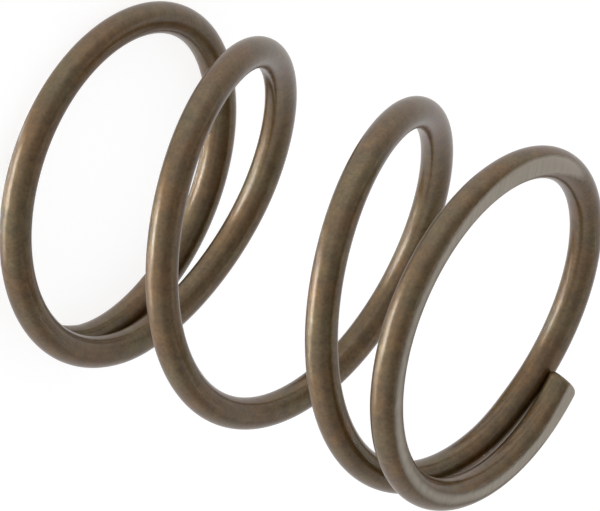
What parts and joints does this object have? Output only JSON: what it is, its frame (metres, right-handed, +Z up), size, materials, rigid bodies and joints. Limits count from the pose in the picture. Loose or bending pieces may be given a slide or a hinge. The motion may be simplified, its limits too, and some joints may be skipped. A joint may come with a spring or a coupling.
{
  "type": "compression spring",
  "caption": "Right-hand coiled compression spring of round wire, with closed and ground ends that stand flat.",
  "frame": {"origin": "on the mean axis of the coil, level with the lower ground face", "axes": "+Z up along the coil's axis, from the lower ground face to the upper one; +X towards the lower wire tip"},
  "size_m": [0.0124, 0.0124, 0.016],
  "materials": {
    "spring_wire": "satin drawn steel with a brown oil-tempered tint, and bare grey steel where the ends are ground"
  },
  "bodies": {
    "root": {"spring": "spring_wire"}
  },
  "joints": []
}
